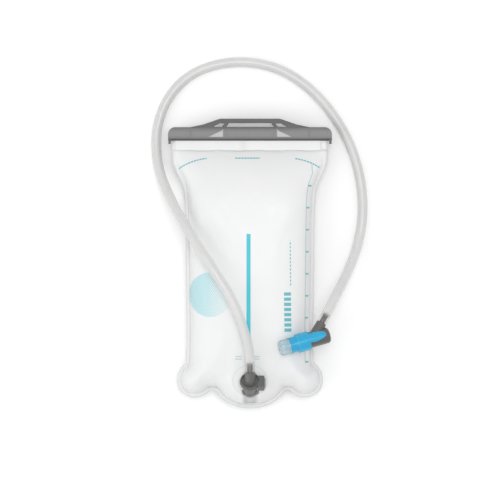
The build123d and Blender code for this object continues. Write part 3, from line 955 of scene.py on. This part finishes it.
# ---- the moulded parts ----
def moulded(name, dark, light, rough=(0.3, 0.42), **extra):
    """A moulded plastic: two close colours in soft clouds, with a fine grain."""
    recipe = Recipe(name)
    vector = recipe.place()
    cloud = layers_of_noise(recipe, vector, (14.0, 3.0), (0.65, 0.35))
    recipe.set(
        Base_Color=recipe.mix(cloud, (*dark, 1), (*light, 1)),
        Roughness=recipe.span(cloud, 0.3, 0.7, *rough),
        **extra,
    )
    recipe.bump(recipe.noise(vector, 0.5), 0.05, 0.25)
    return recipe.material


def dress(material, *names):
    """Gives CAD nodes a material."""
    for name in names:
        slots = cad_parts[name].data.materials
        if not slots:
            slots.append(material)
        for number in range(len(slots)):
            slots[number] = material


def ringed_material():
    """The valve cage: grey, with a paler ring painted at each step along the port's axis as the highlight
    on its ridges.
    """
    recipe = Recipe("cage_grey")
    vector = recipe.place()
    _, y, z = recipe.axes(vector)
    tilt = radians(PORT_TILT)
    along = recipe.math("ADD", recipe.math("MULTIPLY", y, cos(tilt)), recipe.math("MULTIPLY", z, sin(tilt)))
    # painted highlight: a pale ring at each ridge of the cage
    ring = recipe.span(recipe.repeat(along, 0.0, 6.8), 1.2, 1.8, 1.0, 0.0, smooth=True)
    cloud = recipe.noise(vector, 5.0)
    grey = recipe.mix(cloud, (0.03, 0.03, 0.03, 1), (0.06, 0.06, 0.06, 1))
    recipe.set(
        Base_Color=recipe.mix(ring, grey, (0.75, 0.75, 0.75, 1)),
        Roughness=recipe.span(cloud, 0.3, 0.7, 0.3, 0.42),
    )
    return recipe.material


def dress_parts():
    """Materials for all the CAD nodes that show or lie inside."""
    port_dark = moulded("port_dark", (0.072, 0.070, 0.068), (0.135, 0.132, 0.129), Coat_Weight=0.35)
    button_grey = moulded("button_grey", (0.26, 0.26, 0.26), (0.38, 0.38, 0.38), Coat_Weight=0.3)
    seal_black = moulded("seal_black", (0.01, 0.01, 0.01), (0.03, 0.03, 0.03), (0.45, 0.6))
    spring_wire = moulded("spring_wire", (0.5, 0.5, 0.5), (0.66, 0.66, 0.66), (0.2, 0.3), Metallic=1.0)
    valve_grey = moulded("valve_grey", (0.065, 0.06, 0.056), (0.13, 0.122, 0.115), Coat_Weight=0.4)
    valve_blue = moulded("valve_blue", (0.0, 0.25, 0.50), (0.0, 0.44, 0.68), (0.16, 0.26), Coat_Weight=0.6)
    clear_silicone = moulded(
        "clear_silicone",
        (0.55, 0.80, 0.88),
        (0.80, 0.92, 0.95),
        (0.18, 0.3),
        Transmission_Weight=0.6,
        IOR=1.41,
        Coat_Weight=0.4,
    )
    baffle_film = moulded("baffle_film", (0.70, 0.76, 0.78), (0.82, 0.86, 0.88), Alpha=0.7)
    dress(slide_material(), "slide_bar")
    dress(port_material(), "bulkhead_port")
    dress(ringed_material(), "valve_cage", "poppet")
    dress(port_dark, "hose_connector")
    dress(button_grey, "release_button")
    dress(seal_black, "poppet_seal", "plug_o_ring", "valve_o_rings")
    dress(spring_wire, "poppet_spring", "button_spring")
    dress(valve_grey, "valve_elbow")
    dress(valve_blue, "shutoff_sleeve")
    dress(clear_silicone, "mouthpiece")
    dress(baffle_film, "front_baffle", "rear_baffle", "front_top_strip")
    dress(baffle_film, "baffle_rail_front", "baffle_rail_rear")


# ---- floor and light ----
def add_floor():
    half = 6.0
    corners = [(-half, -half, 0), (half, -half, 0), (half, half, 0), (-half, half, 0)]
    recipe = Recipe("pale_floor")
    cloud = recipe.noise(recipe.place(), 300.0, 2.0)
    recipe.set(Base_Color=recipe.mix(cloud, (0.93, 0.93, 0.93, 1), (0.95, 0.95, 0.95, 1)), Roughness=0.7)
    new_mesh("floor", corners, [(0, 1, 2, 3)], recipe.material)


def add_light(name, place, aim, width, power):
    """A soft rectangular light that points at a place."""
    data = bpy.data.lights.new(name, "AREA")
    data.shape = "RECTANGLE"
    data.size, data.size_y = width
    data.energy = power
    light = bpy.data.objects.new(name, data)
    light.location = place
    light.rotation_euler = (Vector(aim) - Vector(place)).to_track_quat("-Z", "Y").to_euler()
    bpy.context.scene.collection.objects.link(light)


def light_studio():
    """An even pale world with two soft lights."""
    world = bpy.data.worlds.new("studio")
    world.use_nodes = True
    background = world.node_tree.nodes["Background"]
    background.inputs["Color"].default_value = (1, 1, 1, 1)
    background.inputs["Strength"].default_value = 0.78
    scene = bpy.context.scene
    scene.world = world
    scene.view_settings.view_transform = "Standard"
    add_light("front", (0.15, 0.25, 2.7), (0, 0, 0), (1.2, 1.2), 24)
    add_light("side", (-1.6, -0.5, 1.3), (0, 0, 0), (1.0, 1.6), 7)


add_camera()
add_hose()
add_floor()
light_studio()
add_film(film_material("front_film_printed", True), film_material("rear_film_plain", False))
add_flap_strip()
dress_parts()
